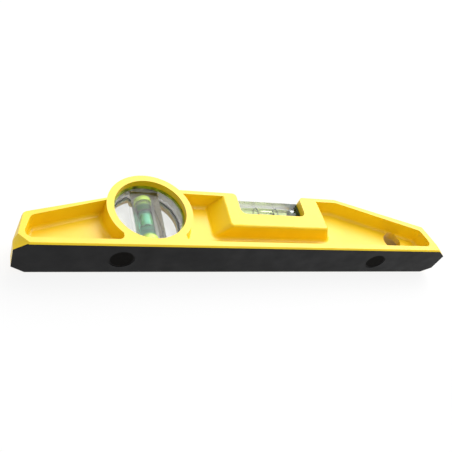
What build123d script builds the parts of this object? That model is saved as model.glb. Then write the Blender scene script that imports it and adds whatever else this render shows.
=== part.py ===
"""Cast torpedo spirit level, lying on its back.

A painted die casting holds a block vial in a notch at its top edge and a round plumb unit
in a ring.  Two pot magnets sit in the sole.  X runs along the level, the sole faces -Y,
the front face looks up (+Z) and the back face lies on Z = 0.  Sizes are in millimetres.
Heights are counted from the sole towards the top edge.
"""
import math
import os

from build123d import *

# ---------------------------------------------------------------- casting: overall sizes
length = 250.0
thickness = 23.2
top_height = 36.5
ring_x = -60.8
ring_height = 22.9
ring_radius = 22.0
ring_foot_half = 15.6
ring_foot_rise = 4.4
ring_foot_corner = 2.5
sole_bevel = 0.8

# ends: a short upright land, then a slant up to the shoulder
top_flat_half = 54.2
end_land = 5.4
left_shoulder = (-120.8, 17.6)
right_shoulder = (121.2, 15.8)
shoulder_radius = 4.0
nose_width = 7.2
nose_depth = 5.3
nose_top_width = 1.8
nose_fade = 0.3

# recesses on both sides of a central web
front_recess = 9.5
back_recess = 10.0
lower_bar = 3.6
upper_bar = 2.3
left_end_bar = 3.3
right_end_bar = 10.6
left_top_bar = 1.6
right_top_bar = 0.2
draft = 3.5
recess_corner = 3.4
floor_round = 2.0

# ---------------------------------------------------------------- casting: vial boss
boss_left = -18.7
boss_right = 40.6
boss_right_flare = 1.4
boss_height = 13.9
boss_left_ramp = 7.6
boss_right_ramp = 4.8
boss_lower_ramp = 0.8
boss_corner = 2.5
boss_edge_round = 1.3
notch_left = -10.8
notch_right = 29.5
notch_height = 22.5
notch_corner = 3.5
notch_lip = 2.4

# ---------------------------------------------------------------- holes in the casting
hang_x = 93.8
hang_height = 14.1
hang_radius = 5.95
magnet_x = 75.9
magnet_pocket_radius = 6.35
magnet_pocket_depth = 2.4
magnet_recess = 0.3

# ---------------------------------------------------------------- plumb unit in the ring
plumb_bore_radius = 18.4
plumb_clearance = 0.05
plumb_recess = 5.0
bezel_height = 1.2
bezel_width = 0.9
channel_width = 15.0
plumb_tube_radius = 3.9
plumb_tube_wall = 0.8
plumb_tube_length = 22.6
plumb_plug_radius = 4.6
plumb_plug_flange = 4.6
plumb_plug_spigot = 1.8
plumb_gauge_spacing = 9.6
plumb_bubble_radius = 2.3
plumb_bubble_length = 8.8
plumb_bubble_rise = 0.55
plumb_travel = 4.2

# ---------------------------------------------------------------- level vial in the boss
vial_clearance = 0.1
vial_bedding = 0.5
vial_top = 35.0
vial_half_thickness = 7.4
vial_plug_length = 3.6
vial_bore_length = 31.0
vial_bore_radius = 4.9
vial_bore_end_radius = 4.3
level_gauge_spacing = 12.6
level_bubble_radius = 2.7
level_bubble_length = 10.6
level_bubble_rise = 1.3
level_travel = 9.0

# ---------------------------------------------------------------- small common sizes
gauge_width = 0.55
gauge_thickness = 0.15
track_gap = 0.08
cup_wall = 0.7
cup_floor = 0.7

overall_height = ring_height + ring_radius
sole_y = -overall_height / 2
mid_z = thickness / 2
half = length / 2
ring_y = sole_y + ring_height
top_y = sole_y + top_height
front_floor = thickness - front_recess
back_floor = back_recess

os.makedirs("parts", exist_ok=True)


def at_height(h):
    """Y of a point that lies h away from the sole."""
    return sole_y + h


def write(part, name):
    """Labels a finished piece and writes it as one node."""
    part.label = name
    export_step(part, f"parts/{name}.step")


# ================================================================ casting
def outline_points():
    """Corners of the bar's outline."""
    return (
        (-half, sole_y),
        (half, sole_y),
        (half, at_height(end_land)),
        (right_shoulder[0], at_height(right_shoulder[1])),
        (top_flat_half, top_y),
        (-top_flat_half, top_y),
        (left_shoulder[0], at_height(left_shoulder[1])),
        (-half, at_height(end_land)),
    )


def recess_sketch():
    """Both recesses at the level's face: one left of the ring, one right of it."""
    left_lean = (half + left_shoulder[0]) / (left_shoulder[1] - end_land)
    right_lean = (half - right_shoulder[0]) / (right_shoulder[1] - end_land)
    left_rise = left_shoulder[1] - left_top_bar - lower_bar
    right_rise = right_shoulder[1] - right_top_bar - lower_bar
    left_end = -half + left_end_bar
    right_end = half - right_end_bar
    with BuildSketch(mode=Mode.PRIVATE) as recess:
        with BuildLine():
            Polyline(
                (left_end, at_height(lower_bar)),
                (right_end, at_height(lower_bar)),
                (right_end - right_rise * right_lean, at_height(lower_bar + right_rise)),
                (top_flat_half, top_y - upper_bar),
                (ring_x, top_y - upper_bar),
                (left_end + left_rise * left_lean, at_height(lower_bar + left_rise)),
                close=True,
            )
        make_face()
        with Locations((ring_x, ring_y)):
            Circle(ring_radius, mode=Mode.SUBTRACT)
        with Locations((ring_x, at_height(lower_bar))):
            Rectangle(2 * ring_foot_half, 2 * ring_foot_rise, mode=Mode.SUBTRACT)
        at_ring = [
            v
            for v in recess.vertices()
            if abs(math.dist((v.X, v.Y), (ring_x, ring_y)) - ring_radius) < 0.01
        ]
        at_foot = [
            v for v in recess.vertices() if abs(abs(v.X - ring_x) - ring_foot_half) < 0.01
        ]
        fillet(
            [v for v in recess.vertices() if v not in at_ring and v not in at_foot],
            radius=recess_corner,
        )
        foot_corners = [
            v
            for v in recess.vertices().group_by(Axis.Y)[0]
            if abs(abs(v.X - ring_x) - ring_foot_half) < 0.01
        ]
        fillet(foot_corners, radius=ring_foot_corner)
    return recess.sketch


def boss_section(z, spread):
    """Vial boss cut at height z; spread is how far its walls have run out there."""
    left = boss_left - spread * boss_left_ramp
    right = boss_right + spread * boss_right_ramp
    low = at_height(boss_height) - spread * boss_lower_ramp
    with BuildSketch(Plane.XY.offset(z), mode=Mode.PRIVATE) as section:
        with BuildLine():
            Polyline(
                (left, low),
                (right + boss_right_flare, low),
                (right, top_y),
                (left, top_y),
                close=True,
            )
        make_face()
        fillet(section.vertices().group_by(Axis.Y)[0], radius=boss_corner)
    return section.sketch


def nose_section(side, face_z, inward, h, end_x, width):
    """Corner cut of one end at height h; it runs out where its width has faded."""
    depth = nose_fade if width == nose_fade else nose_depth
    with BuildSketch(
        Plane(origin=(0, at_height(h), 0), x_dir=(0, 0, 1), z_dir=(0, 1, 0)), mode=Mode.PRIVATE
    ) as section:
        with BuildLine():
            Polyline(
                (face_z + 2 * inward * depth, side * (end_x + width)),
                (face_z - inward * depth, side * (end_x - 2 * width)),
                (face_z - inward * depth, side * (end_x + width)),
                close=True,
            )
        make_face()
    return section.sketch


with BuildPart() as casting:
    # bar with sloping shoulders
    with BuildSketch() as bar_outline:
        with BuildLine():
            Polyline(*outline_points(), close=True)
        make_face()
        fillet(
            bar_outline.vertices().filter_by_position(
                Axis.Y, at_height(end_land + 1), at_height(top_height - 1)
            ),
            radius=shoulder_radius,
        )
    extrude(amount=thickness)

    # the nose: both upright corners of each end are cut back; at the ring's end the cuts
    # run out towards the shoulder
    left_foot = nose_width + (nose_width - nose_top_width) / end_land
    right_lean = (right_shoulder[0] - half) / (right_shoulder[1] - end_land)
    right_far = half + right_lean * (top_height - end_land)
    left_levels = (
        (-1, half, left_foot),
        (end_land, half, nose_top_width),
        (left_shoulder[1], -left_shoulder[0], nose_fade),
    )
    right_levels = (
        (-1, half, nose_width),
        (end_land, half, nose_width),
        (top_height, right_far, nose_width),
    )
    for side, levels in ((-1, left_levels), (1, right_levels)):
        for face_z, inward in ((thickness, -1), (0, 1)):
            for low, high in zip(levels, levels[1:]):
                loft(
                    [
                        nose_section(side, face_z, inward, *low),
                        nose_section(side, face_z, inward, *high),
                    ],
                    ruled=True,
                    mode=Mode.SUBTRACT,
                )

    # ring standing above the bar
    with BuildSketch():
        with Locations((ring_x, ring_y)):
            Circle(ring_radius)
    extrude(amount=thickness)

    # recesses, drafted for casting
    with BuildSketch(Plane.XY.offset(thickness)):
        add(recess_sketch())
    extrude(amount=-front_recess, taper=draft, mode=Mode.SUBTRACT)
    with BuildSketch():
        add(recess_sketch())
    extrude(amount=back_recess, taper=draft, mode=Mode.SUBTRACT)

    # boss around the vial notch
    for floor_z, face_z in ((front_floor, thickness), (back_floor, 0)):
        loft([boss_section(floor_z, 1), boss_section(face_z, 0)])

    # cast radii where the walls meet the web
    for floor_z in (front_floor, back_floor):
        fillet(
            casting.edges().filter_by_position(Axis.Z, floor_z - 0.01, floor_z + 0.01),
            radius=floor_round,
        )

    # milled sole: its long edges are broken
    chamfer(
        casting.edges().filter_by(Axis.X).filter_by_position(Axis.Y, sole_y - 0.01, sole_y + 0.01),
        length=sole_bevel,
    )

    # rolled edge along the foot of the boss's face
    for face_z in (0, thickness):
        fillet(
            casting.edges()
            .filter_by(Axis.X)
            .filter_by_position(Axis.Z, face_z - 0.01, face_z + 0.01)
            .filter_by_position(Axis.Y, at_height(boss_height - 0.1), at_height(boss_height + 0.1)),
            radius=boss_edge_round,
        )

    # notch for the level vial, open at the top edge and to both faces
    with BuildSketch() as notch:
        with BuildLine():
            Polyline(
                (notch_left, at_height(notch_height)),
                (notch_right, at_height(notch_height)),
                (notch_right, top_y + 1),
                (notch_left, top_y + 1),
                close=True,
            )
        make_face()
        fillet(notch.vertices().group_by(Axis.Y)[0], radius=notch_corner)
    extrude(amount=thickness, mode=Mode.SUBTRACT)
    fillet(
        casting.edges()
        .filter_by(Axis.Z)
        .filter_by_position(Axis.Y, top_y - 0.01, top_y + 0.01)
        .filter_by_position(Axis.X, notch_left - 0.1, notch_right + 0.1),
        radius=notch_lip,
    )

    # bore for the plumb unit, hang hole, and the two magnet pockets in the sole
    with BuildSketch():
        with Locations((ring_x, ring_y)):
            Circle(plumb_bore_radius)
        with Locations((hang_x, at_height(hang_height))):
            Circle(hang_radius)
    extrude(amount=thickness, mode=Mode.SUBTRACT)
    with BuildSketch(Plane(origin=(0, sole_y, 0), x_dir=(0, 0, 1), z_dir=(0, 1, 0))):
        with Locations((mid_z, -magnet_x), (mid_z, magnet_x)):
            Circle(magnet_pocket_radius)
    extrude(amount=magnet_pocket_depth, mode=Mode.SUBTRACT)

write(casting.part, "body")

# ================================================================ magnets in the sole
magnet_back = sole_y + magnet_pocket_depth
magnet_face = sole_y + magnet_recess
sole_up = {"x_dir": (0, 0, 1), "z_dir": (0, 1, 0)}

for name, x in (("left", -magnet_x), ("right", magnet_x)):
    # steel cup, open towards the work
    with BuildPart() as cup:
        with BuildSketch(Plane(origin=(x, magnet_face, mid_z), **sole_up)):
            Circle(magnet_pocket_radius)
        extrude(amount=magnet_back - magnet_face)
        with BuildSketch(Plane(origin=(x, magnet_face, mid_z), **sole_up)):
            Circle(magnet_pocket_radius - cup_wall)
        extrude(amount=magnet_back - magnet_face - cup_floor, mode=Mode.SUBTRACT)
    write(cup.part, f"magnet_cup_{name}")

    # ferrite disc glued into the cup
    with BuildPart() as magnet:
        with BuildSketch(Plane(origin=(x, magnet_face, mid_z), **sole_up)):
            Circle(magnet_pocket_radius - cup_wall)
        extrude(amount=magnet_back - magnet_face - cup_floor)
    write(magnet.part, f"magnet_{name}")

# ================================================================ plumb unit
plumb_radius = plumb_bore_radius - plumb_clearance
plumb_front = thickness - plumb_recess
plumb_back = plumb_recess
channel_half = plumb_plug_radius
channel_length = plumb_tube_length + 2 * plumb_plug_flange
cover_front = mid_z - channel_half

# clear disc: a window in front and a channel for the tube, open to the rear
with BuildPart() as plumb_disc:
    with BuildSketch(Plane.XY.offset(cover_front)):
        with Locations((ring_x, ring_y)):
            Circle(plumb_radius)
    extrude(amount=plumb_front - cover_front)
    with BuildSketch(Plane.XY.offset(cover_front)):
        with Locations((ring_x, ring_y)):
            Rectangle(channel_width, channel_length)
    extrude(amount=2 * channel_half, mode=Mode.SUBTRACT)
write(plumb_disc.part, "plumb_disc")

# clear cover closing the channel from the rear
with BuildPart() as plumb_cover:
    with BuildSketch(Plane.XY.offset(plumb_back)):
        with Locations((ring_x, ring_y)):
            Circle(plumb_radius)
    extrude(amount=cover_front - plumb_back)
write(plumb_cover.part, "plumb_cover")

# lime rings pressed into the bore against both windows
for name, ring_z, toward in (("front", plumb_front, 1), ("rear", plumb_back, -1)):
    with BuildPart() as bezel:
        with BuildSketch(Plane.XY.offset(ring_z)):
            with Locations((ring_x, ring_y)):
                Circle(plumb_bore_radius)
                Circle(plumb_bore_radius - bezel_width, mode=Mode.SUBTRACT)
        extrude(amount=toward * bezel_height)
    write(bezel.part, f"plumb_bezel_{name}")

# tube standing across the level, between two domed plugs
tube_bore = plumb_tube_radius - plumb_tube_wall
across = Plane(origin=(ring_x, ring_y, mid_z), x_dir=(1, 0, 0), z_dir=(0, 0, 1))

with BuildPart() as plumb_tube:
    with BuildSketch(across):
        with Locations(((tube_bore + plumb_tube_radius) / 2, 0)):
            Rectangle(plumb_tube_wall, plumb_tube_length)
    revolve(axis=Axis((ring_x, ring_y, mid_z), (0, 1, 0)))
write(plumb_tube.part, "plumb_tube")

dome_rise = plumb_plug_flange / 2
dome_radius = (plumb_plug_radius**2 + dome_rise**2) / (2 * dome_rise)
dome_mid = dome_radius - math.sqrt(dome_radius**2 - plumb_plug_radius**2 / 4)
plug_foot = plumb_tube_length / 2 - plumb_plug_spigot
plug_brim = channel_length / 2 - dome_rise

for name, up in (("upper", 1), ("lower", -1)):
    with BuildPart() as plug:
        with BuildSketch(across):
            with BuildLine():
                Polyline(
                    (0, up * channel_length / 2),
                    (0, up * plug_foot),
                    (tube_bore, up * plug_foot),
                    (tube_bore, up * plumb_tube_length / 2),
                    (plumb_plug_radius, up * plumb_tube_length / 2),
                    (plumb_plug_radius, up * plug_brim),
                )
                ThreePointArc(
                    (plumb_plug_radius, up * plug_brim),
                    (plumb_plug_radius / 2, up * (channel_length / 2 - dome_mid)),
                    (0, up * channel_length / 2),
                )
            make_face()
        revolve(axis=Axis((ring_x, ring_y, mid_z), (0, 1, 0)))
    write(plug.part, f"plumb_plug_{name}")

# printed gauge rings round the tube
for name, up in (("upper", 1), ("lower", -1)):
    with BuildPart() as gauge:
        with BuildSketch(across):
            with Locations((plumb_tube_radius + gauge_thickness / 2, up * plumb_gauge_spacing / 2)):
                Rectangle(gauge_thickness, gauge_width)
        revolve(axis=Axis((ring_x, ring_y, mid_z), (0, 1, 0)))
    write(gauge.part, f"plumb_mark_{name}")


def bubble_between(start, end, radius):
    """Round-ended bubble from one end point to the other."""
    run = Vector(*end) - Vector(*start)
    with BuildPart(mode=Mode.PRIVATE) as shape:
        with BuildSketch(Plane(origin=start, z_dir=run)):
            Circle(radius)
        extrude(amount=run.length)
        with Locations(start, end):
            Sphere(radius)
    return shape.part


plumb_inner = plumb_tube_length - 2 * plumb_plug_spigot
plumb_bubble_z = mid_z + plumb_bubble_rise
plumb_reach = plumb_bubble_length / 2 - plumb_bubble_radius

# liquid fills the tube, but for the track the bubble runs in
with BuildPart() as plumb_liquid:
    with BuildSketch(across):
        with Locations((tube_bore / 2, 0)):
            Rectangle(tube_bore, plumb_inner)
    revolve(axis=Axis((ring_x, ring_y, mid_z), (0, 1, 0)))
    add(
        bubble_between(
            (ring_x, ring_y - plumb_reach - plumb_travel, plumb_bubble_z),
            (ring_x, ring_y + plumb_reach + plumb_travel, plumb_bubble_z),
            plumb_bubble_radius + track_gap,
        ),
        mode=Mode.SUBTRACT,
    )
write(plumb_liquid.part, "plumb_liquid")

plumb_bubble = bubble_between(
    (ring_x, ring_y - plumb_reach, plumb_bubble_z),
    (ring_x, ring_y + plumb_reach, plumb_bubble_z),
    plumb_bubble_radius,
)
write(plumb_bubble, "plumb_bubble")

# ================================================================ level vial
vial_left = notch_left + vial_clearance
vial_right = notch_right - vial_clearance
vial_bottom = notch_height + vial_bedding
vial_x = (vial_left + vial_right) / 2
vial_y = at_height((vial_bottom + vial_top) / 2)
bore_left = vial_x - vial_bore_length / 2
bore_right = vial_x + vial_bore_length / 2
vial_axis = Axis((vial_x, vial_y, mid_z), (1, 0, 0))
along = Plane(origin=(vial_x, vial_y, mid_z), x_dir=(1, 0, 0), z_dir=(0, 0, 1))


def barrel_sketch(skin):
    """Half section of the barrel-shaped bore, drawn in by skin all round."""
    reach = vial_bore_length / 2
    with BuildSketch(along, mode=Mode.PRIVATE) as section:
        with BuildLine():
            Polyline(
                (-reach, vial_bore_end_radius - skin),
                (-reach, 0),
                (reach, 0),
                (reach, vial_bore_end_radius - skin),
            )
            ThreePointArc(
                (-reach, vial_bore_end_radius - skin),
                (0, vial_bore_radius - skin),
                (reach, vial_bore_end_radius - skin),
            )
        make_face()
    return section.sketch


# clear acrylic block with the barrel bore, open at its right end for filling
with BuildPart() as level_block:
    with BuildSketch(Plane.XY.offset(mid_z - vial_half_thickness)) as block_face:
        with BuildLine():
            Polyline(
                (vial_left, at_height(vial_bottom)),
                (vial_right, at_height(vial_bottom)),
                (vial_right, at_height(vial_top)),
                (vial_left, at_height(vial_top)),
                close=True,
            )
        make_face()
        fillet(block_face.vertices().group_by(Axis.Y)[0], radius=notch_corner)
    extrude(amount=2 * vial_half_thickness)
    revolve(barrel_sketch(0), axis=vial_axis, mode=Mode.SUBTRACT)
    with BuildSketch(Plane(origin=(bore_right, vial_y, mid_z), z_dir=(1, 0, 0))):
        Circle(vial_bore_end_radius)
    extrude(amount=vial_right - bore_right, mode=Mode.SUBTRACT)
write(level_block.part, "level_block")

# dark green plug welded into the filling end
with BuildPart() as level_plug:
    with BuildSketch(Plane(origin=(bore_right, vial_y, mid_z), z_dir=(1, 0, 0))):
        Circle(vial_bore_end_radius)
    extrude(amount=vial_plug_length)
write(level_plug.part, "level_plug")

# bed of cement the block is set in, along the floor of the notch
with BuildPart() as level_bed:
    with BuildSketch(Plane.XY.offset(mid_z - vial_half_thickness)):
        with Locations((vial_x, at_height(notch_height + vial_bedding / 2))):
            Rectangle(vial_right - vial_left - 2 * notch_corner, vial_bedding)
    extrude(amount=2 * vial_half_thickness)
write(level_bed.part, "level_bed")

# gauge rings on the wall of the bore
for name, side in (("left", -1), ("right", 1)):
    with BuildPart() as gauge:
        revolve(barrel_sketch(0), axis=vial_axis)
        revolve(barrel_sketch(gauge_thickness), axis=vial_axis, mode=Mode.SUBTRACT)
        with Locations((vial_x + side * level_gauge_spacing / 2, vial_y, mid_z)):
            Box(gauge_width, 3 * vial_bore_radius, 3 * vial_bore_radius, mode=Mode.INTERSECT)
    write(gauge.part, f"level_mark_{name}")

level_bubble_z = mid_z + level_bubble_rise
level_reach = level_bubble_length / 2 - level_bubble_radius

# liquid fills the bore inside the rings, but for the bubble's track
with BuildPart() as level_liquid:
    revolve(barrel_sketch(0), axis=vial_axis)
    for side in (-1, 1):
        with Locations((vial_x + side * level_gauge_spacing / 2, vial_y, mid_z)):
            Box(gauge_width, 3 * vial_bore_radius, 3 * vial_bore_radius, mode=Mode.SUBTRACT)
    revolve(barrel_sketch(gauge_thickness), axis=vial_axis)
    add(
        bubble_between(
            (vial_x - level_reach - level_travel, vial_y, level_bubble_z),
            (vial_x + level_reach + level_travel, vial_y, level_bubble_z),
            level_bubble_radius + track_gap,
        ),
        mode=Mode.SUBTRACT,
    )
write(level_liquid.part, "level_liquid")

level_bubble = bubble_between(
    (vial_x - level_reach, vial_y, level_bubble_z),
    (vial_x + level_reach, vial_y, level_bubble_z),
    level_bubble_radius,
)
write(level_bubble, "level_bubble")
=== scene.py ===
import math
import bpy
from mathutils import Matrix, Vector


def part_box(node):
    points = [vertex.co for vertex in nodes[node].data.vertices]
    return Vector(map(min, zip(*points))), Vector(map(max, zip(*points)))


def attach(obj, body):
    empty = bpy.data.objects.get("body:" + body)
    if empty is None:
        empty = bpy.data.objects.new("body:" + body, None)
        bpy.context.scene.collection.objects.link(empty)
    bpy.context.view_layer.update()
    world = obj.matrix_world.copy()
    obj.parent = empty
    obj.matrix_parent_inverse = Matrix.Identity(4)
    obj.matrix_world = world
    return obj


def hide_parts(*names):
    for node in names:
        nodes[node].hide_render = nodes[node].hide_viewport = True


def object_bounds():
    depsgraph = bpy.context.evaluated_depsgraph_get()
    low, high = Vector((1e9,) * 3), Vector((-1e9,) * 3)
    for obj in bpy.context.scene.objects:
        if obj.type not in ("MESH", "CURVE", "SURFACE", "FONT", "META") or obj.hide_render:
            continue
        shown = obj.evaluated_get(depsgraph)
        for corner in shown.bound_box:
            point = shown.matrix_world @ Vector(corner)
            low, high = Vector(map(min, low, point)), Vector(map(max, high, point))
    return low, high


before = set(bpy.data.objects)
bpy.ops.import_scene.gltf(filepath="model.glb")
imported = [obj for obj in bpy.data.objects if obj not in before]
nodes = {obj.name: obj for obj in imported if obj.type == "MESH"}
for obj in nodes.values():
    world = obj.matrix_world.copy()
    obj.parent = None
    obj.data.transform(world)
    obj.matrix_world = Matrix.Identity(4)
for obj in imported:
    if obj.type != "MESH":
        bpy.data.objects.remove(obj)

from types import SimpleNamespace

import bmesh
import bpy
from mathutils import Matrix, Vector

cad_low, cad_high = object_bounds()
scene = bpy.context.scene

# ---------------------------------------------------------------------------
# Camera.  It stands at the ring end, on the sole's side, and looks down over the
# sole and the front face.  It is rolled a little, as a hand-held camera is.
# ---------------------------------------------------------------------------
camera_data = bpy.data.cameras.new("camera")
camera_data.sensor_width = 36.0
camera_data.lens = 46.5055
camera_data.shift_x = -0.05164
camera_data.shift_y = 0.01356
camera_data.clip_start = 0.01
camera_data.clip_end = 20.0
camera = bpy.data.objects.new("camera", camera_data)
scene.collection.objects.link(camera)
camera_right = Vector((0.89535, -0.24626, 0.37110))
camera_down = Vector((0.02895, -0.79929, -0.60024))
camera_ahead = Vector((0.44443, 0.54817, -0.70852))
camera.matrix_world = Matrix.Translation((-0.14594, -0.18038, 0.24040)) @ Matrix(
    (camera_right, -camera_down, -camera_ahead)
).transposed().to_4x4()
scene.camera = camera

# ---------------------------------------------------------------------------
# Floor and light.  A white card floor that shows as white to the camera and
# keeps a faint shadow; one large soft lamp over the far side, and a soft sky.
# ---------------------------------------------------------------------------
scene.view_settings.view_transform = "Standard"


def new_material(name):
    """An empty node material: returns it with its node tree and its output node."""
    material = bpy.data.materials.new(name)
    material.use_nodes = True
    tree = material.node_tree
    tree.nodes.clear()
    output = tree.nodes.new("ShaderNodeOutputMaterial")
    return material, tree, output


def feed(tree, value, socket):
    """Links a socket into another, or sets a plain value on it."""
    if isinstance(value, bpy.types.NodeSocket):
        tree.links.new(value, socket)
    else:
        socket.default_value = value


def math_node(tree, operation, first, second=0.0):
    """One Math node on two values or sockets."""
    node = tree.nodes.new("ShaderNodeMath")
    node.operation = operation
    feed(tree, first, node.inputs[0])
    feed(tree, second, node.inputs[1])
    return node.outputs[0]


def seen_directly(tree):
    """1 where a surface or sky is seen by the camera, in a reflection or through glass."""
    path = tree.nodes.new("ShaderNodeLightPath").outputs
    seen = math_node(tree, "MAXIMUM", path["Is Camera Ray"], path["Is Glossy Ray"])
    return math_node(tree, "MAXIMUM", seen, path["Is Transmission Ray"])


card, card_tree, card_output = new_material("white_card")
card_paper = card_tree.nodes.new("ShaderNodeBsdfDiffuse")
card_grain = card_tree.nodes.new("ShaderNodeTexNoise")
card_grain.inputs["Scale"].default_value = 40.0
card_tone = card_tree.nodes.new("ShaderNodeMapRange")
card_tone.inputs["To Min"].default_value = 0.80
card_tone.inputs["To Max"].default_value = 0.83
card_tree.links.new(card_grain.outputs["Fac"], card_tone.inputs["Value"])
card_tree.links.new(card_tone.outputs["Result"], card_paper.inputs["Color"])
card_white = card_tree.nodes.new("ShaderNodeEmission")
card_white.inputs["Color"].default_value = (1.0, 1.0, 1.0, 1.0)
card_white.inputs["Strength"].default_value = 1.0
whitening = 0.86
card_share = math_node(card_tree, "MULTIPLY", seen_directly(card_tree), whitening)
card_mix = card_tree.nodes.new("ShaderNodeMixShader")
card_tree.links.new(card_share, card_mix.inputs[0])
card_tree.links.new(card_paper.outputs[0], card_mix.inputs[1])
card_tree.links.new(card_white.outputs[0], card_mix.inputs[2])
card_tree.links.new(card_mix.outputs[0], card_output.inputs["Surface"])

floor_mesh = bpy.data.meshes.new("floor")
floor_reach = 3.0
floor_level = -0.0001
floor_mesh.from_pydata(
    [
        (floor_reach * side, floor_reach * depth, floor_level)
        for side, depth in ((-1, -1), (1, -1), (1, 1), (-1, 1))
    ],
    [],
    [(0, 1, 2, 3)],
)
floor_mesh.materials.append(card)
floor = bpy.data.objects.new("floor", floor_mesh)
scene.collection.objects.link(floor)

world = bpy.data.worlds.new("studio")
world.use_nodes = True
scene.world = world
sky_tree = world.node_tree
sky_tree.nodes.clear()
sky_output = sky_tree.nodes.new("ShaderNodeOutputWorld")
sky_soft = sky_tree.nodes.new("ShaderNodeBackground")
sky_soft.inputs["Color"].default_value = (1.0, 1.0, 1.0, 1.0)
sky_soft.inputs["Strength"].default_value = 0.66
sky_white = sky_tree.nodes.new("ShaderNodeBackground")
sky_white.inputs["Color"].default_value = (1.0, 1.0, 1.0, 1.0)
sky_white.inputs["Strength"].default_value = 1.0
sky_mix = sky_tree.nodes.new("ShaderNodeMixShader")
sky_path = sky_tree.nodes.new("ShaderNodeLightPath")
sky_tree.links.new(sky_path.outputs["Is Camera Ray"], sky_mix.inputs[0])
sky_tree.links.new(sky_soft.outputs[0], sky_mix.inputs[1])
sky_tree.links.new(sky_white.outputs[0], sky_mix.inputs[2])
sky_tree.links.new(sky_mix.outputs[0], sky_output.inputs["Surface"])


def soft_lamp(name, toward, distance, size, power):
    """A square soft lamp, set off in one direction from the level and aimed at it."""
    lamp_data = bpy.data.lights.new(name, "AREA")
    lamp_data.shape = "SQUARE"
    lamp_data.size = size
    lamp_data.energy = power
    lamp = bpy.data.objects.new(name, lamp_data)
    lamp.location = Vector(toward).normalized() * distance
    lamp.rotation_mode = "QUATERNION"
    lamp.rotation_quaternion = (-Vector(toward)).to_track_quat("-Z", "Y")
    scene.collection.objects.link(lamp)


soft_lamp("key_lamp", (0.44, 0.55, 0.80), 1.0, 1.0, 15.3)

# ---------------------------------------------------------------------------
# Casting.  Pressure-cast light alloy, dipped in thick yellow enamel, with the
# sole milled after casting and coloured near-black.  The web keeps the casting's skin.
# ---------------------------------------------------------------------------
sole_face = cad_low.y


def link_noise(tree, source, scale, detail, low, high, out_low, out_high):
    """Noise over the piece's own coordinates, spread between two values."""
    noise = tree.nodes.new("ShaderNodeTexNoise")
    noise.inputs["Scale"].default_value = scale
    noise.inputs["Detail"].default_value = detail
    tree.links.new(source, noise.inputs["Vector"])
    spread = tree.nodes.new("ShaderNodeMapRange")
    spread.inputs["From Min"].default_value = low
    spread.inputs["From Max"].default_value = high
    spread.inputs["To Min"].default_value = out_low
    spread.inputs["To Max"].default_value = out_high
    tree.links.new(noise.outputs["Fac"], spread.inputs["Value"])
    return spread.outputs["Result"]


def blend_colours(tree, share, first, second):
    """Colour between two others; each is a colour or a socket."""
    mix = tree.nodes.new("ShaderNodeMix")
    mix.data_type = "RGBA"
    feed(tree, share, mix.inputs[0])
    for value, socket in ((first, mix.inputs[6]), (second, mix.inputs[7])):
        is_socket = isinstance(value, bpy.types.NodeSocket)
        feed(tree, value if is_socket else (*value, 1.0), socket)
    return mix.outputs[2]


def blend_values(tree, share, first, second):
    """Value between two others; each is a number or a socket."""
    mix = tree.nodes.new("ShaderNodeMix")
    feed(tree, share, mix.inputs[0])
    feed(tree, first, mix.inputs[2])
    feed(tree, second, mix.inputs[3])
    return mix.outputs[0]


def bumped(tree, height, distance, strength, shader):
    """Raises a shader's surface by a height socket."""
    bump = tree.nodes.new("ShaderNodeBump")
    bump.inputs["Distance"].default_value = distance
    bump.inputs["Strength"].default_value = strength
    tree.links.new(height, bump.inputs["Height"])
    tree.links.new(bump.outputs["Normal"], shader.inputs["Normal"])


def dress(node_name, material):
    """Gives a carried-over piece its finish."""
    piece = nodes[node_name]
    if not piece.material_slots:
        piece.data.materials.append(material)
    for material_slot in piece.material_slots:
        material_slot.material = material


enamel, enamel_tree, enamel_output = new_material("yellow_enamel")
enamel_shader = enamel_tree.nodes.new("ShaderNodeBsdfPrincipled")
enamel_place = enamel_tree.nodes.new("ShaderNodeTexCoord").outputs["Object"]
enamel_axes = enamel_tree.nodes.new("ShaderNodeSeparateXYZ")
enamel_tree.links.new(enamel_place, enamel_axes.inputs[0])
# the black is only on the flat of the sole, inside its broken edges
milled_depth = 0.0004
milled_half_width = 0.01085
middle_height = (cad_low.z + cad_high.z) / 2
low_enough = math_node(
    enamel_tree, "LESS_THAN", enamel_axes.outputs["Y"], sole_face + milled_depth
)
across_sole = math_node(enamel_tree, "SUBTRACT", enamel_axes.outputs["Z"], middle_height)
off_middle = math_node(enamel_tree, "ABSOLUTE", across_sole)
between_edges = math_node(enamel_tree, "LESS_THAN", off_middle, milled_half_width)
on_sole = math_node(enamel_tree, "MULTIPLY", low_enough, between_edges)
paint_tone = link_noise(enamel_tree, enamel_place, 60.0, 3.0, 0.35, 0.65, 0.0, 1.0)
paint = blend_colours(enamel_tree, paint_tone, (0.80, 0.54, 0.004), (0.86, 0.60, 0.006))
milled_tone = link_noise(enamel_tree, enamel_place, 90.0, 4.0, 0.35, 0.65, 0.0, 1.0)
milled = blend_colours(enamel_tree, milled_tone, (0.004, 0.004, 0.0045), (0.008, 0.008, 0.0085))
enamel_tree.links.new(
    blend_colours(enamel_tree, on_sole, paint, milled), enamel_shader.inputs["Base Color"]
)
paint_rough = link_noise(enamel_tree, enamel_place, 25.0, 2.0, 0.3, 0.7, 0.30, 0.38)
milled_rough = link_noise(enamel_tree, enamel_place, 120.0, 2.0, 0.3, 0.7, 0.48, 0.58)
enamel_rough = blend_values(enamel_tree, on_sole, paint_rough, milled_rough)
enamel_tree.links.new(enamel_rough, enamel_shader.inputs["Roughness"])
enamel_shine = blend_values(enamel_tree, on_sole, 0.5, 0.15)
enamel_tree.links.new(enamel_shine, enamel_shader.inputs["Specular IOR Level"])
skin = link_noise(enamel_tree, enamel_place, 1400.0, 2.0, 0.2, 0.8, 0.0, 1.0)
bumped(enamel_tree, skin, 0.00004, 0.35, enamel_shader)
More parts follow.
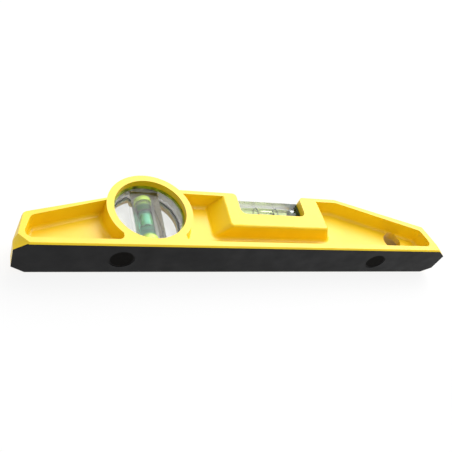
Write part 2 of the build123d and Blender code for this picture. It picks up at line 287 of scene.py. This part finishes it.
enamel_tree.links.new(enamel_shader.outputs[0], enamel_output.inputs["Surface"])
dress("body", enamel)

# soft edges of the enamel: a thin film rounds every corner it runs over
body_piece = nodes["body"]
film = body_piece.modifiers.new("film_round", "BEVEL")
film.width = 0.0005
film.segments = 3
film.limit_method = "ANGLE"
film.angle_limit = math.radians(32.0)
film.use_clamp_overlap = True
body_piece.modifiers.new("film_normals", "WEIGHTED_NORMAL").keep_sharp = True

# ---------------------------------------------------------------------------
# Magnets.  Two dark ferrite discs glued in thin plated steel cups, which are
# pressed into the sole a little below its milled face.
# ---------------------------------------------------------------------------
ferrite, ferrite_tree, ferrite_output = new_material("black_ferrite")
ferrite_shader = ferrite_tree.nodes.new("ShaderNodeBsdfPrincipled")
ferrite_place = ferrite_tree.nodes.new("ShaderNodeTexCoord").outputs["Object"]
ferrite_tone = link_noise(ferrite_tree, ferrite_place, 500.0, 3.0, 0.3, 0.7, 0.0, 1.0)
ferrite_tree.links.new(
    blend_colours(ferrite_tree, ferrite_tone, (0.003, 0.0025, 0.002), (0.006, 0.0055, 0.0045)),
    ferrite_shader.inputs["Base Color"],
)
ferrite_shader.inputs["Roughness"].default_value = 0.75
ferrite_shader.inputs["Specular IOR Level"].default_value = 0.05
ferrite_grain = link_noise(ferrite_tree, ferrite_place, 2500.0, 2.0, 0.2, 0.8, 0.0, 1.0)
bumped(ferrite_tree, ferrite_grain, 0.00005, 0.4, ferrite_shader)
ferrite_tree.links.new(ferrite_shader.outputs[0], ferrite_output.inputs["Surface"])

plating, plating_tree, plating_output = new_material("dark_plated_cup")
plating_shader = plating_tree.nodes.new("ShaderNodeBsdfPrincipled")
plating_place = plating_tree.nodes.new("ShaderNodeTexCoord").outputs["Object"]
plating_tone = link_noise(plating_tree, plating_place, 300.0, 3.0, 0.3, 0.7, 0.0, 1.0)
plating_tree.links.new(
    blend_colours(plating_tree, plating_tone, (0.004, 0.004, 0.004), (0.009, 0.0085, 0.008)),
    plating_shader.inputs["Base Color"],
)
plating_shader.inputs["Specular IOR Level"].default_value = 0.1
plating_rough = link_noise(plating_tree, plating_place, 700.0, 2.0, 0.3, 0.7, 0.42, 0.55)
plating_tree.links.new(plating_rough, plating_shader.inputs["Roughness"])
plating_tree.links.new(plating_shader.outputs[0], plating_output.inputs["Surface"])

for side in ("left", "right"):
    dress("magnet_" + side, ferrite)
    dress("magnet_cup_" + side, plating)

# ---------------------------------------------------------------------------
# Level vial block.  Clear cast acrylic with a barrel-shaped bore that is filled from
# the right end.  The top face is left as sawn, and the right end, with the sides next to it, is
# coloured opaque dark green.
# ---------------------------------------------------------------------------
acrylic_index = 1.49
spirit_index = 1.36


def clear_material(name, tint, index, shadow_tint, shine=0.3):
    """Clear stuff that lets light through to what lies behind it."""
    material, tree, output = new_material(name)
    glass = tree.nodes.new("ShaderNodeBsdfPrincipled")
    place = tree.nodes.new("ShaderNodeTexCoord").outputs["Object"]
    shade = link_noise(tree, place, 150.0, 2.0, 0.3, 0.7, 0.0, 1.0)
    darkening = 0.985
    deeper = tuple(darkening * channel for channel in tint)
    tree.links.new(blend_colours(tree, shade, deeper, tint), glass.inputs["Base Color"])
    glass.inputs["Transmission Weight"].default_value = 1.0
    glass.inputs["Roughness"].default_value = 0.0
    glass.inputs["IOR"].default_value = index
    glass.inputs["Specular Tint"].default_value = (shine, shine, shine, 1.0)
    through = tree.nodes.new("ShaderNodeBsdfTransparent")
    through.inputs["Color"].default_value = (*shadow_tint, 1.0)
    path = tree.nodes.new("ShaderNodeLightPath")
    mix = tree.nodes.new("ShaderNodeMixShader")
    tree.links.new(path.outputs["Is Shadow Ray"], mix.inputs[0])
    tree.links.new(glass.outputs[0], mix.inputs[1])
    tree.links.new(through.outputs[0], mix.inputs[2])
    tree.links.new(mix.outputs[0], output.inputs["Surface"])
    axes = tree.nodes.new("ShaderNodeSeparateXYZ")
    tree.links.new(place, axes.inputs[0])
    return SimpleNamespace(
        material=material, tree=tree, output=output, glass=glass, place=place, axes=axes.outputs
    )


def lay_over(clear, share, shader):
    """Where the share is 1, another surface takes the place of the one made so far."""
    choice = clear.tree.nodes.new("ShaderNodeMixShader")
    surface = clear.output.inputs["Surface"]
    so_far = surface.links[0].from_socket
    clear.tree.links.new(share, choice.inputs[0])
    clear.tree.links.new(so_far, choice.inputs[1])
    clear.tree.links.new(shader.outputs[0], choice.inputs[2])
    clear.tree.links.new(choice.outputs[0], surface)


def vanish_inside(clear, centre, axis, radius, reach):
    """Within a round bore the clear wall is wetted, so light goes straight on there."""
    tree = clear.tree
    apart = {
        letter: math_node(tree, "SUBTRACT", clear.axes[letter], middle)
        for letter, middle in zip("XYZ", centre)
    }
    squares = [
        math_node(tree, "MULTIPLY", apart[letter], apart[letter])
        for letter in "XYZ"
        if letter != axis
    ]
    near = math_node(tree, "LESS_THAN", math_node(tree, "ADD", *squares), radius * radius)
    along = math_node(tree, "ABSOLUTE", apart[axis])
    inside = math_node(tree, "MULTIPLY", near, math_node(tree, "LESS_THAN", along, reach))
    lay_over(clear, inside, tree.nodes.new("ShaderNodeBsdfTransparent"))


block_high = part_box("level_block")[1]
liquid_low, liquid_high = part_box("level_liquid")
vial_centre = (liquid_low + liquid_high) / 2
vial_reach = (liquid_high.x - liquid_low.x) / 2
vial_swell = (liquid_high.z - liquid_low.z) / 2
wetted_margin = 0.0001
acrylic = clear_material(
    "clear_acrylic_block", (0.76, 0.78, 0.76), acrylic_index, (0.90, 0.92, 0.90)
)
vanish_inside(
    acrylic, vial_centre, "X", vial_swell + wetted_margin, vial_reach + wetted_margin
)

sawn_skin = 0.00005
sawn_roughness = 0.45
sawn_top = math_node(acrylic.tree, "GREATER_THAN", acrylic.axes["Y"], block_high.y - sawn_skin)
acrylic.tree.links.new(
    math_node(acrylic.tree, "MULTIPLY", sawn_top, sawn_roughness),
    acrylic.glass.inputs["Roughness"],
)

end_green_depth = 0.0007
at_end = math_node(
    acrylic.tree, "GREATER_THAN", acrylic.axes["X"], block_high.x - end_green_depth
)
end_dark_green = acrylic.tree.nodes.new("ShaderNodeBsdfPrincipled")
end_tone = link_noise(acrylic.tree, acrylic.place, 260.0, 3.0, 0.3, 0.7, 0.0, 1.0)
acrylic.tree.links.new(
    blend_colours(acrylic.tree, end_tone, (0.012, 0.030, 0.004), (0.070, 0.120, 0.010)),
    end_dark_green.inputs["Base Color"],
)
end_dark_green.inputs["Roughness"].default_value = 0.45
lay_over(acrylic, at_end, end_dark_green)
dress("level_block", acrylic.material)

# ---------------------------------------------------------------------------
# Level liquid and bubble.  Thin spirit tinted yellow-green fills the whole bore;
# the bubble of air lies against its upper side and moves along the block.
# ---------------------------------------------------------------------------


def turned(name, profile, axis, centre, rounds=64):
    """A closed body turned from (position along the axis, radius) pairs."""
    mesh = bpy.data.meshes.new(name)
    shaping = bmesh.new()
    rings = []
    for position, radius in profile:
        if radius <= 1e-9:
            rings.append([shaping.verts.new((position, 0.0, 0.0))])
            continue
        rings.append(
            [
                shaping.verts.new(
                    (
                        position,
                        radius * math.cos(2 * math.pi * step / rounds),
                        radius * math.sin(2 * math.pi * step / rounds),
                    )
                )
                for step in range(rounds)
            ]
        )
    for lower, upper in zip(rings, rings[1:]):
        for step in range(rounds):
            following = (step + 1) % rounds
            if len(lower) == 1:
                shaping.faces.new((lower[0], upper[following], upper[step]))
            elif len(upper) == 1:
                shaping.faces.new((lower[step], lower[following], upper[0]))
            else:
                shaping.faces.new((lower[step], lower[following], upper[following], upper[step]))
    bmesh.ops.recalc_face_normals(shaping, faces=shaping.faces)
    shaping.to_mesh(mesh)
    shaping.free()
    for face in mesh.polygons:
        face.use_smooth = True
    turn = Matrix.Identity(3)
    if axis == "Y":
        turn = Matrix(((0.0, -1.0, 0.0), (1.0, 0.0, 0.0), (0.0, 0.0, 1.0)))
    for vertex in mesh.vertices:
        vertex.co = turn @ vertex.co + Vector(centre)
    piece = bpy.data.objects.new(name, mesh)
    scene.collection.objects.link(piece)
    return piece


def barrel(reach, middle, end, steps=24):
    """Profile of a barrel-shaped filling with flat ends."""
    profile = [(-reach, 0.0)]
    for step in range(steps + 1):
        along = -1.0 + 2.0 * step / steps
        profile.append((along * reach, middle - (middle - end) * along * along))
    profile.append((reach, 0.0))
    return profile


def round_ended(half_length, radius, steps=10):
    """Profile of a bubble: straight in the middle, round at both ends."""
    flank = half_length - radius
    turns = [math.pi / 2 * step / steps for step in range(steps + 1)]
    profile = [(-flank - radius * math.cos(turn), radius * math.sin(turn)) for turn in turns]
    return profile + [(-position, size) for position, size in reversed(profile)]


liquid_gap = 0.00001
vial_end = 0.0043
level_liquid = turned(
    "level_spirit",
    barrel(vial_reach - liquid_gap, vial_swell - liquid_gap, vial_end - liquid_gap),
    "X",
    vial_centre,
)
spirit = clear_material(
    "green_spirit", (0.80, 0.95, 0.45), spirit_index / acrylic_index, (0.80, 0.93, 0.55)
)
level_liquid.data.materials.append(spirit.material)
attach(level_liquid, "level")
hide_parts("level_liquid")

bubble_low, bubble_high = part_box("level_bubble")
level_air = turned(
    "level_air",
    round_ended((bubble_high.x - bubble_low.x) / 2, (bubble_high.y - bubble_low.y) / 2),
    "X",
    (bubble_low + bubble_high) / 2,
)
air = clear_material(
    "air_in_spirit", (1.0, 1.0, 0.97), 1.0 / spirit_index, (0.95, 0.97, 0.9), shine=1.0
)
level_air.data.materials.append(air.material)
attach(level_air, "level_vial_bubble")
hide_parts("level_bubble")

# ---------------------------------------------------------------------------
# Gauge rings, filling plug and bed of the level vial.  Black ink on the bore,
# a dark green plug welded into the right end, and cement under the block.
# ---------------------------------------------------------------------------


def plain_plastic(name, dark, light, rough_low, rough_high):
    """Moulded plastic: slight mottling, fine moulding grain."""
    material, tree, output = new_material(name)
    shader = tree.nodes.new("ShaderNodeBsdfPrincipled")
    place = tree.nodes.new("ShaderNodeTexCoord").outputs["Object"]
    tone = link_noise(tree, place, 220.0, 3.0, 0.3, 0.7, 0.0, 1.0)
    tree.links.new(blend_colours(tree, tone, dark, light), shader.inputs["Base Color"])
    rough = link_noise(tree, place, 400.0, 2.0, 0.3, 0.7, rough_low, rough_high)
    tree.links.new(rough, shader.inputs["Roughness"])
    grain = link_noise(tree, place, 3000.0, 2.0, 0.2, 0.8, 0.0, 1.0)
    bumped(tree, grain, 0.00002, 0.3, shader)
    tree.links.new(shader.outputs[0], output.inputs["Surface"])
    return material


ink = plain_plastic("black_ink", (0.006, 0.006, 0.006), (0.014, 0.014, 0.014), 0.5, 0.65)
dress("level_mark_left", ink)
dress("level_mark_right", ink)
plug_green = plain_plastic(
    "dark_green_plug", (0.010, 0.055, 0.018), (0.020, 0.095, 0.032), 0.25, 0.4
)
dress("level_plug", plug_green)
cement = plain_plastic("white_cement", (0.60, 0.60, 0.52), (0.72, 0.72, 0.64), 0.55, 0.75)
dress("level_bed", cement)

# ---------------------------------------------------------------------------
# Plumb unit.  A clear moulded disc with a cross channel, cemented to a clear rear
# cover; its turned rim is left matt, and the floor of the channel carries a grey sheet of
# painted shade.
# ---------------------------------------------------------------------------
disc = clear_material("clear_disc", (0.80, 0.81, 0.78), acrylic_index, (0.90, 0.92, 0.90))
cover_low, cover_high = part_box("plumb_cover")
channel_reach = (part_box("plumb_plug_upper")[1].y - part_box("plumb_plug_lower")[0].y) / 2
channel_half_width = 0.0075
joint_slack = 0.00002
edge_slack = 0.00001
joint_height = math_node(disc.tree, "SUBTRACT", disc.axes["Z"], cover_high.z)
joint_gap = math_node(disc.tree, "ABSOLUTE", joint_height)
at_joint = math_node(disc.tree, "LESS_THAN", joint_gap, joint_slack)
aside = math_node(disc.tree, "SUBTRACT", disc.axes["X"], (cover_low.x + cover_high.x) / 2)
endways = math_node(disc.tree, "SUBTRACT", disc.axes["Y"], (cover_low.y + cover_high.y) / 2)
past_side = math_node(
    disc.tree,
    "GREATER_THAN",
    math_node(disc.tree, "ABSOLUTE", aside),
    channel_half_width - edge_slack,
)
past_end = math_node(
    disc.tree,
    "GREATER_THAN",
    math_node(disc.tree, "ABSOLUTE", endways),
    channel_reach - edge_slack,
)
off_channel = math_node(disc.tree, "MAXIMUM", past_side, past_end)
cemented = math_node(disc.tree, "MULTIPLY", at_joint, off_channel)
lay_over(disc, cemented, disc.tree.nodes.new("ShaderNodeBsdfTransparent"))

rim_skin = 0.00008
rim_radius = (cover_high.x - cover_low.x) / 2 - rim_skin
from_axis = math_node(
    disc.tree,
    "ADD",
    math_node(disc.tree, "MULTIPLY", aside, aside),
    math_node(disc.tree, "MULTIPLY", endways, endways),
)
at_rim = math_node(disc.tree, "GREATER_THAN", from_axis, rim_radius * rim_radius)
polished = 0.02
matt = 0.57
disc.tree.links.new(
    blend_values(disc.tree, at_rim, polished, matt), disc.glass.inputs["Roughness"]
)

# painted shade: a grey sheet on the channel floor darkens what is seen through the disc there
on_floor = math_node(
    disc.tree, "MULTIPLY", at_joint, math_node(disc.tree, "SUBTRACT", 1.0, off_channel)
)
channel_painted_shade = disc.tree.nodes.new("ShaderNodeBsdfPrincipled")
channel_shade_tone = link_noise(disc.tree, disc.place, 180.0, 3.0, 0.3, 0.7, 0.0, 1.0)
disc.tree.links.new(
    blend_colours(disc.tree, channel_shade_tone, (0.40, 0.40, 0.41), (0.50, 0.50, 0.50)),
    channel_painted_shade.inputs["Base Color"],
)
channel_painted_shade.inputs["Roughness"].default_value = 0.5
lay_over(disc, on_floor, channel_painted_shade)
dress("plumb_disc", disc.material)
dress("plumb_cover", disc.material)

# ---------------------------------------------------------------------------
# Plumb tube, its plugs and rings.  Lime moulded plugs close the clear tube, black
# gauge rings are printed on it, and thin lime rings hold the unit in the casting;
# their lime runs down to dark olive, which is painted shade from the bore.
# ---------------------------------------------------------------------------
lime = plain_plastic("lime_plastic", (0.52, 0.78, 0.012), (0.62, 0.88, 0.025), 0.25, 0.38)
# lime mottled with dark olive: the dark patches are painted shade from the bore
shaded_lime_ring = plain_plastic("shaded_lime_ring", (0.05, 0.075, 0.003), (0.38, 0.50, 0.006), 0.2, 0.35)
for end in ("upper", "lower"):
    dress("plumb_plug_" + end, lime)
    dress("plumb_mark_" + end, ink)
for face in ("front", "rear"):
    dress("plumb_bezel_" + face, shaded_lime_ring)

plumb_low, plumb_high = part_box("plumb_liquid")
plumb_centre = (plumb_low + plumb_high) / 2
plumb_reach = (plumb_high.y - plumb_low.y) / 2
plumb_bore = (plumb_high.x - plumb_low.x) / 2
tube = clear_material("clear_tube", (0.90, 0.97, 0.94), acrylic_index, (0.90, 0.96, 0.93))
vanish_inside(
    tube, plumb_centre, "Y", plumb_bore + wetted_margin, plumb_reach + wetted_margin
)
dress("plumb_tube", tube.material)

# ---------------------------------------------------------------------------
# Plumb liquid and bubble.  Blue-green spirit fills the tube between the plugs.  On the
# bubble lies a painted highlight, white in its middle, and a painted lime reflection
# of the plugs at its edges.
# ---------------------------------------------------------------------------
plumb_end = plumb_bore - liquid_gap
plumb_liquid = turned(
    "plumb_spirit",
    barrel(plumb_reach - liquid_gap, plumb_end, plumb_end, 2),
    "Y",
    plumb_centre,
)
teal = clear_material(
    "teal_spirit", (0.22, 0.88, 0.62), spirit_index / acrylic_index, (0.60, 0.95, 0.82)
)
plumb_liquid.data.materials.append(teal.material)
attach(plumb_liquid, "level")
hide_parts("plumb_liquid")

plumb_bubble_low, plumb_bubble_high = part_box("plumb_bubble")
plumb_air = turned(
    "plumb_air",
    round_ended(
        (plumb_bubble_high.y - plumb_bubble_low.y) / 2,
        (plumb_bubble_high.x - plumb_bubble_low.x) / 2,
    ),
    "Y",
    (plumb_bubble_low + plumb_bubble_high) / 2,
)
glint_bubble = clear_material(
    "air_in_teal", (1.0, 1.0, 0.95), 1.0 / spirit_index, (0.98, 1.0, 0.95), shine=1.0
)
# painted highlight and painted reflection: a film, white down the bubble's middle and lime
# towards its edges, laid over part of the clear air
white_half_width = 0.0009
lime_half_width = 0.0021
glint_side = math_node(glint_bubble.tree, "SUBTRACT", glint_bubble.axes["X"], plumb_centre.x)
glint_edge = glint_bubble.tree.nodes.new("ShaderNodeMapRange")
glint_edge.inputs["From Min"].default_value = white_half_width
glint_edge.inputs["From Max"].default_value = lime_half_width
glint_bubble.tree.links.new(math_node(glint_bubble.tree, "ABSOLUTE", glint_side), glint_edge.inputs["Value"])
glint_film = glint_bubble.tree.nodes.new("ShaderNodeBsdfPrincipled")
glint_film.inputs["Roughness"].default_value = 0.3
glint_colour = blend_colours(
    glint_bubble.tree, glint_edge.outputs["Result"], (0.90, 0.95, 0.90), (0.55, 0.80, 0.10)
)
glint_bubble.tree.links.new(glint_colour, glint_film.inputs["Base Color"])
glint_share = link_noise(glint_bubble.tree, glint_bubble.place, 500.0, 2.0, 0.3, 0.7, 0.35, 0.55)
lay_over(glint_bubble, glint_share, glint_film)
plumb_air.data.materials.append(glint_bubble.material)
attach(plumb_air, "plumb_vial_bubble")
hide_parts("plumb_bubble")
